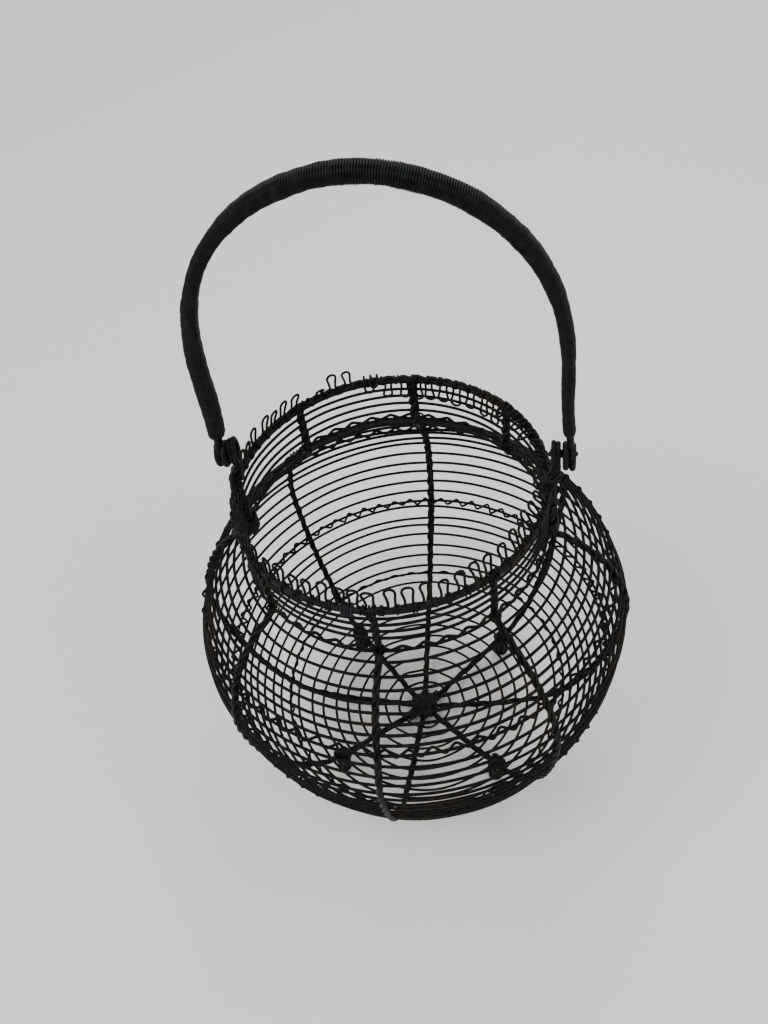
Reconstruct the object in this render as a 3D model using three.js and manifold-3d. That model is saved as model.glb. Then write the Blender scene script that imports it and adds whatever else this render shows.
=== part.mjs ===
// Wire fruit basket with a swinging carrying handle.
// Millimetres, +Z up, front towards -Y, right towards +X. The origin is on the floor, midway
// between the four feet, under the basket's axis. The handle stands upright in the XZ plane.
// A pot-bellied cage: level hoops inside four rib wires that run from rim to rim under the bottom.
import * as THREE from 'three';
import { mergeVertices } from 'three/addons/utils/BufferGeometryUtils.js';
import Module from 'manifold-3d';

// ---------------------------------------------------------------- shared dimensions
// All heights count from the cage bottom. A "wire" is a section radius.
const FOOT_DROP = 7; // the cage bottom stands this far above the floor
const RIM_RADIUS = 105; // rim ring centreline
const RIM_Z = 278;
const RIM_WIRE = 3;
const NECK_Z = 236;
const HOOP_WIRE = 1.25; // corner to centre
const RIB_WIRE = 2;
const RIB_GAP = 0.6; // clearance between the hoops and a rib laid outside them
const RIB_OFFSET = HOOP_WIRE + RIB_GAP + RIB_WIRE; // hoop centreline to rib centreline
const HUB_STEP = 4.3; // height step between ribs where they cross
const PIVOT_Z = 307; // handle axis
const BRACKET_EYE_X = [102.5, 109.5]; // extent of a bracket eye along X
const HANDLE_EYE_X = [110.3, 118.7]; // extent of a handle eye along X

// Cage profile: [height, hoop centreline radius]
const PROFILE = [
  [0, 0], [3.2, 20], [5.6, 33], [8, 47], [10, 60], [14.2, 73], [19.5, 86], [25.5, 98],
  [40, 110.5], [60, 125.5], [80, 136.5], [100, 144.5], [120, 150.5], [140, 154.5],
  [155, 156], [170, 154.5], [185, 150], [195, 145.5], [205, 139], [213, 131.5],
  [220, 124], [226, 116], [231, 108.5], [NECK_Z, 104.6], [248, 104.2], [262, 104.4],
  [RIM_Z, RIM_RADIUS],
];

// ---------------------------------------------------------------- materials
const thinWireMaterial = () =>
  new THREE.MeshStandardMaterial({ color: 0x26241f, roughness: 0.62, metalness: 0.55 });
const heavyWireMaterial = () =>
  new THREE.MeshStandardMaterial({ color: 0x1c1e1b, roughness: 0.55, metalness: 0.55 });
const gripMaterial = () =>
  new THREE.MeshStandardMaterial({ color: 0x151a18, roughness: 0.5, metalness: 0.35 });
const brownWireMaterial = () =>
  new THREE.MeshStandardMaterial({ color: 0x2e251e, roughness: 0.7, metalness: 0.5 });

// ---------------------------------------------------------------- curves and sections
// Curve whose parameter runs evenly through its own points, without arc-length spacing
class EvenCurve extends THREE.Curve {
  constructor(pointAt, closed = false) {
    super();
    this.pointAt = pointAt;
    this.closed = closed;
  }

  getPoint(t, target = new THREE.Vector3()) {
    return target.copy(this.pointAt(this.closed ? t - Math.floor(t) : t));
  }

  getPointAt(t, target) {
    return this.getPoint(t, target);
  }

  getTangentAt(t, target) {
    return this.getTangent(t, target);
  }
}

function smoothCurve(points, arcLengthDivisions = 200) {
  const curve = new THREE.CatmullRomCurve3(points, false, 'centripetal');
  curve.arcLengthDivisions = arcLengthDivisions;
  return curve;
}

const inPlaneXZ = ([x, z]) => new THREE.Vector3(x, 0, z);

// Polygon with its corners on an ellipse of the given half axes
function polygon([halfX, halfY], sides, turn = Math.PI / sides) {
  const shape = new THREE.Shape();
  for (let i = 0; i < sides; i++) {
    const angle = turn + (2 * Math.PI * i) / sides;
    const corner = [halfX * Math.cos(angle), halfY * Math.sin(angle)];
    if (i) shape.lineTo(...corner);
    else shape.moveTo(...corner);
  }
  shape.closePath();
  return shape;
}

const sweep = (shape, path, steps) =>
  new THREE.ExtrudeGeometry(shape, { steps, bevelEnabled: false, extrudePath: path });

// Reads one column of a table of { radius, height } rows from another, between rows
function interpolate(table, fromKey, toKey, value) {
  if (value <= table[0][fromKey]) return table[0][toKey];
  for (let i = 1; i < table.length; i++) {
    const before = table[i - 1];
    const after = table[i];
    if (value <= after[fromKey]) {
      const share = (value - before[fromKey]) / (after[fromKey] - before[fromKey]);
      return before[toKey] + (after[toKey] - before[toKey]) * share;
    }
  }
  return table[table.length - 1][toKey];
}

// ---------------------------------------------------------------- cage profile
const BOTTOM_BELOW = 60; // rows under this height serve to look up heights by radius
const lowerRows = (table) => table.filter(({ height }) => height < BOTTOM_BELOW);

const profileCurve = smoothCurve(PROFILE.map(([height, radius]) => inPlaneXZ([radius, height])));
const profileRows = profileCurve.getPoints(1200).map(({ x, z }) => ({ radius: x, height: z }));
const bottomRows = lowerRows(profileRows);
const radiusAt = (height) => interpolate(profileRows, 'height', 'radius', height);
const heightAt = (radius) => interpolate(bottomRows, 'radius', 'height', radius);

// Centreline of half a rib: the profile offset outwards, from the axis up to the rim
const RIB_LINE_STEPS = 80;
const ribLine = [];
for (let i = 0; i <= RIB_LINE_STEPS; i++) {
  const point = profileCurve.getPointAt(i / RIB_LINE_STEPS);
  const tangent = profileCurve.getTangentAt(i / RIB_LINE_STEPS);
  ribLine.push({
    radius: point.x + tangent.z * RIB_OFFSET,
    height: point.z - tangent.x * RIB_OFFSET,
  });
}

const radians = (degrees) => (degrees * Math.PI) / 180;

// Point at an azimuth in degrees: 0 at -Y (front), 90 at +X (right)
const place = (radius, height, azimuth) => new THREE.Vector3(
  radius * Math.sin(radians(azimuth)),
  -radius * Math.cos(radians(azimuth)),
  height,
);

// ---------------------------------------------------------------- solids
const manifold = await Module();
manifold.setup();

function toSolid(geometry) {
  const bare = geometry.clone();
  bare.deleteAttribute('normal');
  bare.deleteAttribute('uv');
  const merged = mergeVertices(bare, 1e-3);
  return new manifold.Manifold(new manifold.Mesh({
    numProp: 3,
    vertProperties: new Float32Array(merged.attributes.position.array),
    triVerts: new Uint32Array(merged.index.array),
  }));
}

function toGeometry(solid) {
  const mesh = solid.getMesh();
  const geometry = new THREE.BufferGeometry();
  const positions = new Float32Array(mesh.vertProperties);
  geometry.setAttribute('position', new THREE.BufferAttribute(positions, 3));
  geometry.setIndex(new THREE.BufferAttribute(new Uint32Array(mesh.triVerts), 1));
  geometry.computeVertexNormals();
  return geometry;
}

// The same geometry on the other side of the basket's axis
const halfTurn = (geometry) => geometry.clone().rotateZ(Math.PI);

// ---------------------------------------------------------------- assembly
const basket = new THREE.Group();
const cage = new THREE.Group();
cage.position.z = FOOT_DROP;
basket.add(cage);

function add(name, geometry, material, z = 0) {
  const mesh = new THREE.Mesh(geometry, material);
  mesh.name = name;
  mesh.position.z = z;
  cage.add(mesh);
  return mesh;
}

function addPair(name, geometry) {
  add(`${name}_right`, geometry, heavyWireMaterial());
  add(`${name}_left`, halfTurn(geometry), heavyWireMaterial());
}

// ---------------------------------------------------------------- rim and hoops
const RING_SEGMENTS = 24;
const SMALL_HOOP_SEGMENTS = 16; // for hoops under SMALL_HOOP_RADIUS
const SMALL_HOOP_RADIUS = 40;
const BOTTOM_HOOP_RADII = [22, 33.5, 45, 56, 66, 76, 86, 95.5];
const WALL_HOOP_HEIGHTS = [
  34, 42, 50, 58, 66, 74, 82, 90, 98, 106, 115, 125, 135, 145, 154, 164, 173, 181, 189,
  195.5, 201.5, 207.3, 213, 218.7, 224.4, 230.2, 249.5, 257, 264, 270.5,
];

const hoopGeometry = (radius, segments = RING_SEGMENTS) =>
  new THREE.TorusGeometry(radius, HOOP_WIRE, 3, segments);
const twoDigits = (index) => String(index + 1).padStart(2, '0');

function addRimAndNeck() {
  const rim = new THREE.TorusGeometry(RIM_RADIUS, RIM_WIRE, 8, RING_SEGMENTS);
  add('rim_ring', rim, heavyWireMaterial(), RIM_Z);
  add('neck_ring', hoopGeometry(radiusAt(NECK_Z)), thinWireMaterial(), NECK_Z);
}

function addHoops() {
  BOTTOM_HOOP_RADII.forEach((radius, i) => {
    const segments = radius < SMALL_HOOP_RADIUS ? SMALL_HOOP_SEGMENTS : RING_SEGMENTS;
    const hoop = hoopGeometry(radius, segments);
    add(`bottom_hoop_${twoDigits(i)}`, hoop, brownWireMaterial(), heightAt(radius));
  });
  WALL_HOOP_HEIGHTS.forEach((z, i) => {
    add(`wall_hoop_${twoDigits(i)}`, hoopGeometry(radiusAt(z)), thinWireMaterial(), z);
  });
}

// ---------------------------------------------------------------- crimped rings
const CRIMP_WIRE = 0.85;
const CRIMP_WAVE = 3; // full amplitude, in and out of the hoop line
const CRIMP_GAP = 0.4; // clearance above the hoop below
// [name, height of the hoop below, number of crimps, share of the full wave]
// The number of crimps is a multiple of 8, so that every rib falls on an inward crimp.
const CRIMPED_RINGS = [
  ['low', 42, 48, 0.6],
  ['belly', 106, 72, 1],
  ['shoulder', 189, 64, 1],
  ['neck', NECK_Z, 48, 0.9],
];

function addCrimpedRings() {
  for (const [name, hoopZ, count, share] of CRIMPED_RINGS) {
    const meanRadius = radiusAt(hoopZ);
    const curve = new EvenCurve((t) => {
      const angle = t * 2 * Math.PI;
      const radius = meanRadius - CRIMP_WAVE * share * Math.cos(count * angle);
      return new THREE.Vector3(radius * Math.cos(angle), radius * Math.sin(angle), 0);
    }, true);
    const ring = new THREE.TubeGeometry(curve, count * 2, CRIMP_WIRE, 3, true);
    const z = hoopZ + HOOP_WIRE + CRIMP_WIRE + CRIMP_GAP;
    add(`crimped_ring_${name}`, ring, thinWireMaterial(), z);
  }
}

// ---------------------------------------------------------------- ribs and hub
const RIB_TOP_Z = RIM_Z - 5.2;
const RIB_CLEAR_RADIUS = 3; // no curve points nearer the axis, except the one on it
const HUB_RADIUS = 12.5; // ribs start to lift over each other here
const HUB_RAMP = 8; // radial length of the lift
// [name, azimuth], lowest rib first
const RIBS = [
  ['front_back', 0], ['right_diagonal', 45], ['side_to_side', 90], ['left_diagonal', 135],
];

// Each rib runs down the wall, across the bottom and up the far wall
function addRibs() {
  RIBS.forEach(([name, azimuth], i) => {
    const lift = (radius) => {
      const share = Math.min(1, Math.max(0, (HUB_RADIUS - radius) / HUB_RAMP));
      return i * HUB_STEP * share * share * (3 - 2 * share);
    };
    const half = ribLine
      .filter(({ radius, height }) => radius > RIB_CLEAR_RADIUS && height < RIB_TOP_Z)
      .map(({ radius, height }) => [radius, height + lift(radius)]);
    half.push([radiusAt(RIB_TOP_Z) + RIB_OFFSET, RIB_TOP_Z]);
    const points = [
      ...half.map(([radius, z]) => place(radius, z, azimuth)).reverse(),
      place(0, ribLine[0].height + lift(0), azimuth),
      ...half.map(([radius, z]) => place(-radius, z, azimuth)),
    ];
    const section = polygon([RIB_WIRE, RIB_WIRE], 6, 0);
    const rib = sweep(section, smoothCurve(points, 800), 60);
    add(`rib_wire_${name}`, rib, heavyWireMaterial());
  });
}

// Tapered disc over the crossing of the ribs
function addHubBinding() {
  const thickness = 3.2;
  const gap = 0.5;
  const topRib = ribLine[0].height + (RIBS.length - 1) * HUB_STEP;
  const disc = new THREE.CylinderGeometry(7.2, 8.8, thickness, 12);
  disc.rotateX(Math.PI / 2);
  add('hub_binding', disc, heavyWireMaterial(), topRib + RIB_WIRE + gap + thickness / 2);
}

// ---------------------------------------------------------------- rim edging
const LACE_WIRE = 0.75;
const LACE_LOOPS = 60;
const LACE_HEIGHT = 12.5;
const LACE_GAP = 0.45; // clearance above the rim
// One loop: [place along the rim in loop pitches, share of the loop height]
const LACE_LOOP = [[-0.5, 0], [-0.22, 0.74], [0, 1], [0.22, 0.74]];

// One wire bent into loops that stand on the rim; it runs flat at the two brackets
function addRimEdging() {
  const pitch = (2 * Math.PI) / LACE_LOOPS;
  const perLoop = LACE_LOOP.length;
  const pointCount = LACE_LOOPS * perLoop;
  const bendAt = (index) => {
    const loop = Math.floor(index / perLoop);
    const step = index % perLoop;
    const flat = loop % (LACE_LOOPS / 2) === 0;
    const [along, rise] = flat ? [step / perLoop - 0.5, 0] : LACE_LOOP[step];
    return [(loop + along) * pitch, rise];
  };
  const curve = new EvenCurve((t) => {
    const position = t * pointCount;
    const index = Math.floor(position + 1e-9);
    const share = position - index;
    const [angle0, rise0] = bendAt(index);
    const [angle1, rise1] = bendAt(index + 1);
    const angle = angle0 + (angle1 - angle0) * share;
    const rise = rise0 + (rise1 - rise0) * share;
    return new THREE.Vector3(
      RIM_RADIUS * Math.cos(angle),
      RIM_RADIUS * Math.sin(angle),
      rise * LACE_HEIGHT,
    );
  }, true);
  const edging = new THREE.TubeGeometry(curve, pointCount, LACE_WIRE, 3, true);
  add('rim_edging', edging, thinWireMaterial(), RIM_Z + RIM_WIRE + LACE_WIRE + LACE_GAP);
}

// ---------------------------------------------------------------- feet
const FOOT_PLACE_RADIUS = 89; // basket axis to foot axis
const FOOT_RADIUS = 6.3;
const FOOT_TAPER = 0.82; // radius at the floor over radius at the top
const FOOT_TOP_Z = 17.8;
const SLOT_HALF = RIB_WIRE + 0.35; // half width of the slot for the rib
const SLOT_SIZE = { length: 40, height: 30 };
const SLOT_SINK = 0.1;
const FEET = [['front_right', 45], ['back_right', 135], ['back_left', 225], ['front_left', 315]];

// Short posts that straddle the diagonal ribs
function addFeet() {
  const ribBottomRows = lowerRows(ribLine);
  const ribZ = (radius) => interpolate(ribBottomRows, 'radius', 'height', radius);
  const reach = 4; // the rib's slope is taken this far each side of the foot axis
  const rise = ribZ(FOOT_PLACE_RADIUS + reach) - ribZ(FOOT_PLACE_RADIUS - reach);
  const slope = Math.atan2(rise, 2 * reach);
  const height = FOOT_TOP_Z + FOOT_DROP;
  for (const [name, azimuth] of FEET) {
    const post = new THREE.CylinderGeometry(FOOT_RADIUS, FOOT_RADIUS * FOOT_TAPER, height, 12);
    post.rotateX(Math.PI / 2);
    post.translate(FOOT_PLACE_RADIUS, 0, height / 2 - FOOT_DROP);
    const slot = new THREE.BoxGeometry(SLOT_SIZE.length, 2 * SLOT_HALF, SLOT_SIZE.height);
    slot.translate(0, 0, SLOT_SIZE.height / 2 - SLOT_HALF);
    slot.rotateY(-slope);
    slot.translate(FOOT_PLACE_RADIUS, 0, ribZ(FOOT_PLACE_RADIUS) - SLOT_SINK);
    const foot = toGeometry(toSolid(post).subtract(toSolid(slot)));
    const mesh = add(`foot_${name}`, foot, heavyWireMaterial());
    mesh.rotation.z = radians(azimuth - 90);
  }
}

// ---------------------------------------------------------------- eyes, brackets and pins
const EYE = { inner: 4.8, outer: 10.5, maxChamfer: 1.4 };
const PIN = { radius: 4.2, overhang: 0.6 }; // overhang: past the eyes to the heads
const PIN_HEAD = { radius: 6.4, thickness: 1.5, radialChamfer: 0.6, axialChamfer: 0.5 };
// Centreline of the right bracket's stem: [x, height]
const BRACKET_LINE = [[113.5, 241.5], [113.4, 262], [113, 278], [109.9, 288], [106.2, 297.5]];
const BRACKET_HALF = [5, 2.9]; // section half axes, along Y and across the stem

// Turned body on the handle axis; the outline is [radius, distance along +X from startX]
function turnOnPivot(outline, startX) {
  const points = outline.map(([radius, along]) => new THREE.Vector2(radius, along));
  const body = new THREE.LatheGeometry(points, 16);
  body.rotateZ(-Math.PI / 2); // axis from +Y to +X
  return body.translate(startX, 0, PIVOT_Z);
}

function eyeRing([startX, endX]) {
  const { inner, outer, maxChamfer } = EYE;
  const width = endX - startX;
  const chamfer = Math.min(maxChamfer, width / 4);
  return turnOnPivot([
    [inner, chamfer], [inner + chamfer, 0], [outer - chamfer, 0], [outer, chamfer],
    [outer, width - chamfer], [outer - chamfer, width], [inner + chamfer, width],
    [inner, width - chamfer], [inner, chamfer],
  ], startX);
}

// A stem up the outside of the collar that ends in an eye over the rim
function addBrackets() {
  const path = smoothCurve(BRACKET_LINE.map(inPlaneXZ));
  const stem = sweep(polygon(BRACKET_HALF, 8), path, 9);
  addPair('bracket', toGeometry(toSolid(stem).add(toSolid(eyeRing(BRACKET_EYE_X)))));
}

// Cross pins through both eyes, with a head at each end
function addPins() {
  const startX = BRACKET_EYE_X[0] - PIN.overhang;
  const length = HANDLE_EYE_X[1] + PIN.overhang - startX;
  const { radius, thickness, radialChamfer, axialChamfer } = PIN_HEAD;
  // half outline: [radius, distance outwards from the shank's end]
  const head = [
    [0, thickness], [radius - radialChamfer, thickness],
    [radius, thickness - axialChamfer], [radius, 0], [PIN.radius, 0],
  ];
  addPair('pivot_pin', turnOnPivot([
    ...head.map(([r, out]) => [r, -out]),
    ...head.map(([r, out]) => [r, length + out]).reverse(),
  ], startX));
}

// ---------------------------------------------------------------- handle
// Section half axes, along Y and in the plane of the arch
const CORE_HALF = [5, 2.6];
const GRIP_BORE_HALF = [5.5, 3.1];
const GRIP_HALF = [7.6, 5.5];
const GRIP_START = 14; // height of the grip's ends above the pivot
// Handle arch: [height above the pivot, half width]
const ARCH = [
  [7.5, 114.5], [25, 112.8], [45, 112], [65, 112.1], [82, 111.8], [99, 110.3],
  [119, 106.5], [135, 101], [151, 93], [165, 82.7], [176, 72], [186, 59.3],
  [193.5, 45.8], [199, 31.5], [203, 16.5], [204.3, 0],
];

// Core with an eye at each end, and a tubular grip over it
function addHandle() {
  const right = ARCH.map(([rise, x]) => inPlaneXZ([x, PIVOT_Z + rise]));
  const left = ARCH.slice(0, -1).map(([rise, x]) => inPlaneXZ([-x, PIVOT_Z + rise]));
  const arch = smoothCurve([...left, ...right.reverse()], 600);

  const core = toSolid(sweep(polygon(CORE_HALF, 8), arch, 44));
  const eye = eyeRing(HANDLE_EYE_X);
  const coreWithEyes = core.add(toSolid(eye)).add(toSolid(halfTurn(eye)));
  add('handle_core', toGeometry(coreWithEyes), heavyWireMaterial());

  const start = (GRIP_START - ARCH[0][0]) / arch.getLength();
  const gripPath = new EvenCurve((t) => arch.getPointAt(start + (1 - 2 * start) * t));
  const section = polygon(GRIP_HALF, 10);
  section.holes.push(polygon(GRIP_BORE_HALF, 8));
  add('handle_grip', sweep(section, gripPath, 34), gripMaterial());
}

addRimAndNeck();
addHoops();
addCrimpedRings();
addRibs();
addHubBinding();
addRimEdging();
addFeet();
addBrackets();
addPins();
addHandle();

export default basket;
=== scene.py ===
"""Wire fruit basket: a round cage of hoops on twisted ribs, four feet, a looped rim edging and a
swinging handle with a wound grip.

Pieces are shaped in millimetres with z = 0 at the bottom of the cage; build() lifts them by DROP
and turns them into metres, +Z up, origin on the floor. The front is -Y and the right is +X.
Azimuths are degrees from the front, growing towards the right.
"""
import math
import bpy
import numpy as np
from mathutils import Matrix, Vector


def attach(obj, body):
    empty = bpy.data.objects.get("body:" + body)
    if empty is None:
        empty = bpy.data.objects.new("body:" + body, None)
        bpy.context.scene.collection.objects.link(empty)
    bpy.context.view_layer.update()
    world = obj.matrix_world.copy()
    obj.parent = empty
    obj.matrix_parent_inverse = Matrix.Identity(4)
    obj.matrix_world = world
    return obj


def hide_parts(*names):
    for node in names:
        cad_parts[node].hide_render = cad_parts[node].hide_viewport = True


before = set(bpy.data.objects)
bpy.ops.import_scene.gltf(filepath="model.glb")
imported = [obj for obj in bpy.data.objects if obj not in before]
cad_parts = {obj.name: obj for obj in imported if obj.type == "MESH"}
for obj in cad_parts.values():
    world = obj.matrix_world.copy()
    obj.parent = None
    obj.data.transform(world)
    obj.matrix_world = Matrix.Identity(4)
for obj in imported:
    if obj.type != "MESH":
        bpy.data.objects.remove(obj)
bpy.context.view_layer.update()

# ---------------------------------------------------------------- driving sizes, mm
MM = 0.001
TAU = 2 * math.pi
UP = np.array([0.0, 0, 1])
BACK = np.array([0.0, 1, 0])

DROP = 7.0              # cage bottom above the floor
RIM_R, RIM_Z = 105, 278
NECK_Z = 236
PIVOT_Z = 307           # axis the handle swings on
RIM_LOOPS = 60          # hairpins of the edging, and groups of turns that bind the rim
HOOP_WIRE = 1.1         # wire radius

# Profile of the cage from the hub to the rim: height, radius
PROFILE = [
    [0, 0], [3.2, 20], [5.6, 33], [8, 47], [10, 60], [14.2, 73], [19.5, 86], [25.5, 98],
    [40, 110.5], [60, 125.5], [80, 136.5], [100, 144.5], [120, 150.5], [140, 154.5], [155, 156],
    [170, 154.5], [185, 150], [195, 145.5], [205, 139], [213, 131.5], [220, 124], [226, 116],
    [231, 108.5], [NECK_Z, 104.6], [248, 104.2], [262, 104.4], [RIM_Z, RIM_R]]

# Radii of the bottom hoops
BOTTOM = [22, 33.5, 45, 56, 66, 76, 86, 95.5]
# Heights of the wall hoops
WALL = [34, 42, 50, 58, 66, 74, 82, 90, 98, 106, 115, 125, 135, 145, 154, 164, 173, 181,
        189, 195, 200.3, 205.4, 210.3, 215, 220, 225.2, 230.2, 249.2, 256.3, 263.6, 270.2]
EXTRA = 26              # index of the shoulder hoop that has no CAD node of its own
BROWN_BELOW = 95        # wall hoops lower than this are browner

# How much higher a hoop runs at the back than at the front: hoop height, rise
CLIMB = [
    (0, 0), (34, 4.5), (42, 4.0), (50, 1.5), (58, 1.5), (66, 1.5), (74, 2.5), (82, 2.6),
    (90, 1.2), (98, 3.8), (106, 1.2), (115, 1.3), (125, 1.8), (135, 2.0), (145, 1.0), (154, 3.0),
    (164, 5.3), (173, 4.0), (181, 5.0), (189, 2.5), (195, 4.0), (200.3, 5.2), (205.4, 4.4),
    (210.3, 3.4), (215, 2.4), (220, 2.0), (225.2, 2.0), (230.2, 3.2), (NECK_Z, 5.0), (245, 0),
    (300, 0)]
LEVEL_BELOW = 30        # hoops lower than this do not climb


# ---------------------------------------------------------------- numbers and curves
def unit(v):
    return v / np.maximum(np.linalg.norm(v, axis=-1, keepdims=True), 1e-12)


def ease(x):
    x = np.clip(x, 0, 1)
    return x * x * (3 - 2 * x)


def lookup(table, x, column=1):
    """Interpolate a column of a table over its first column."""
    t = np.array(table, float)
    return np.interp(x, t[:, 0], t[:, column])


def running_mean(values, span, mode="edge"):
    return np.convolve(np.pad(values, span // 2, mode), np.ones(span) / span, "valid")


def signed_power(x, power):
    return np.sign(x) * np.abs(x) ** power


def smooth_noise(n, waves, amp, seed, closed=True):
    """A gentle wander, periodic when closed."""
    g = np.random.default_rng(seed)
    x = np.linspace(0, TAU, n, endpoint=not closed)
    y = np.zeros(n)
    for k in waves:
        y += g.normal() * np.sin(k * x + g.uniform(0, 6.28)) / len(waves) ** 0.5
    return y * amp


def polar(r, z, a):
    """Points from radius, height and azimuth in radians."""
    return np.stack([r * np.sin(a), -r * np.cos(a), np.broadcast_to(z, np.shape(a))], -1)


def directions(azimuth):
    """Unit vectors outward and sideways (growing azimuth) at an azimuth in degrees."""
    a = math.radians(azimuth)
    s, c = math.sin(a), math.cos(a)
    return np.array([s, -c, 0]), np.array([c, s, 0])


def full_circle(n):
    return np.arange(n) * TAU / n


def catmull(pts, per):
    """Centripetal Catmull-Rom curve through pts, per points to a span."""
    pts = np.asarray(pts, float)
    q = np.concatenate([[2 * pts[0] - pts[1]], pts, [2 * pts[-1] - pts[-2]]])
    out = []
    for i in range(1, len(q) - 2):
        p0, p1, p2, p3 = q[i - 1:i + 3]
        d = [max(np.linalg.norm(b - a), 1e-9) ** 0.5 for a, b in ((p0, p1), (p1, p2), (p2, p3))]
        t0, t1 = 0, d[0]
        t2 = t1 + d[1]
        t3 = t2 + d[2]
        for t in np.linspace(t1, t2, per, endpoint=False):
            a1 = (t1 - t) / (t1 - t0) * p0 + (t - t0) / (t1 - t0) * p1
            a2 = (t2 - t) / (t2 - t1) * p1 + (t - t1) / (t2 - t1) * p2
            a3 = (t3 - t) / (t3 - t2) * p2 + (t - t2) / (t3 - t2) * p3
            b1 = (t2 - t) / (t2 - t0) * a1 + (t - t0) / (t2 - t0) * a2
            b2 = (t3 - t) / (t3 - t1) * a2 + (t - t1) / (t3 - t1) * a3
            out.append((t2 - t) / (t2 - t1) * b1 + (t - t1) / (t2 - t1) * b2)
    out.append(pts[-1])
    return np.array(out)


def resample(p, step):
    """Even spacing along a polyline; returns points and their arc length."""
    s = np.concatenate([[0], np.cumsum(np.linalg.norm(np.diff(p, axis=0), axis=1))])
    n = max(2, int(round(s[-1] / step)) + 1)
    u = np.linspace(0, s[-1], n)
    return np.stack([np.interp(u, s, p[:, k]) for k in range(p.shape[1])], -1), u


def sample(rows, at):
    """Rows interpolated at fractional indices."""
    i = np.minimum(at.astype(int), len(rows) - 2)
    f = (at - i)[:, None]
    return rows[i] * (1 - f) + rows[i + 1] * f


# ---------------------------------------------------------------- wires
def frames(p, closed=False):
    """Tangents and two rotation-minimising normals along a polyline."""
    n = len(p)
    if closed:
        t = unit(np.roll(p, -1, 0) - np.roll(p, 1, 0))
    else:
        t = np.empty_like(p)
        t[1:-1] = p[2:] - p[:-2]
        t[0], t[-1] = p[1] - p[0], p[-1] - p[-2]
        t = unit(t)
    ref = UP if abs(t[0][2]) < 0.9 else np.array([1.0, 0, 0])
    u = np.empty_like(p)
    u[0] = unit(ref - t[0] * (ref @ t[0]))
    for i in range(1, n):
        u[i] = unit(u[i - 1] - t[i] * (u[i - 1] @ t[i]))
    if closed:
        # spread the mismatch at the seam over the whole ring
        v = unit(u[-1] - t[0] * (u[-1] @ t[0]))
        a = math.atan2(v @ np.cross(t[0], u[0]), v @ u[0])
        ang = -a * np.arange(n) / n
        u = u * np.cos(ang)[:, None] + np.cross(t, u) * np.sin(ang)[:, None]
    return t, u, np.cross(t, u)


def skin(rings, closed=False):
    """Vertices, quads and end caps over a row of rings, shape (rings, sides, 3)."""
    n, sides = rings.shape[:2]
    i = np.arange(n if closed else n - 1)[:, None] * sides
    j = np.arange(sides)[None, :]
    k = (j + 1) % sides
    after = (i + sides) % (n * sides)
    quads = np.stack([i + j, i + k, after + k, after + j], -1).reshape(-1, 4)
    caps = []
    if not closed:
        caps = [list(range(sides))[::-1], [(n - 1) * sides + q for q in range(sides)]]
    return rings.reshape(-1, 3), quads, caps


def tube(p, r, sides=8, closed=False):
    """Round wire of radius r along points p, with rounded ends when open."""
    p = np.asarray(p, float)
    r = np.broadcast_to(np.asarray(r, float), (len(p),))
    t, u, w = frames(p, closed)
    a = full_circle(sides)
    ring = u[:, None, :] * np.cos(a)[None, :, None] + w[:, None, :] * np.sin(a)[None, :, None]
    v = p[:, None, :] + ring * r[:, None, None]
    if not closed:
        start, end = [], []
        for k in (0.45, 0.8):
            c = math.cos(k * math.pi / 2 * 0.9)
            s = math.sin(k * math.pi / 2 * 0.9)
            start.insert(0, p[0] - t[0] * r[0] * s + ring[0] * r[0] * c)
            end.append(p[-1] + t[-1] * r[-1] * s + ring[-1] * r[-1] * c)
        v = np.concatenate([np.array(start), v, np.array(end)])
    return skin(v, closed)


def coil(p, u, w, half_u, half_w, turns, per_turn, phase=0.0):
    """Helix round an evenly sampled path. u and w span its section, one vector or one a point;
    half_u and half_w are its half widths along them."""
    n = int(turns * per_turn) + 1
    s = np.linspace(0, len(p) - 1, n)
    U = unit(sample(np.broadcast_to(u, p.shape), s))
    W = unit(sample(np.broadcast_to(w, p.shape), s))
    rows = np.arange(len(p))
    A = np.interp(s, rows, np.broadcast_to(half_u, (len(p),)))
    B = np.interp(s, rows, np.broadcast_to(half_w, (len(p),)))
    th = phase + np.linspace(0, TAU * turns, n)
    return sample(p, s) + U * (A * np.cos(th))[:, None] + W * (B * np.sin(th))[:, None]


# The hand-made cage is not quite true. Each lean gives the shift in x and y at heights z.
def lean_cage(z):
    """The belly sits a little to the front right of the mouth and the feet."""
    belly = ease(z / 50) * (1 - ease((z - 170) / 60))
    return 4.2 * belly, -5.5 * belly


def lean_ears(z):
    """The brackets lean to the right above the rim."""
    return 4.6 * ease((z - 276) / 24), 0.0


def lean_handle(z):
    """The whole handle sits to the right."""
    return 4.8, 0.0


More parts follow.
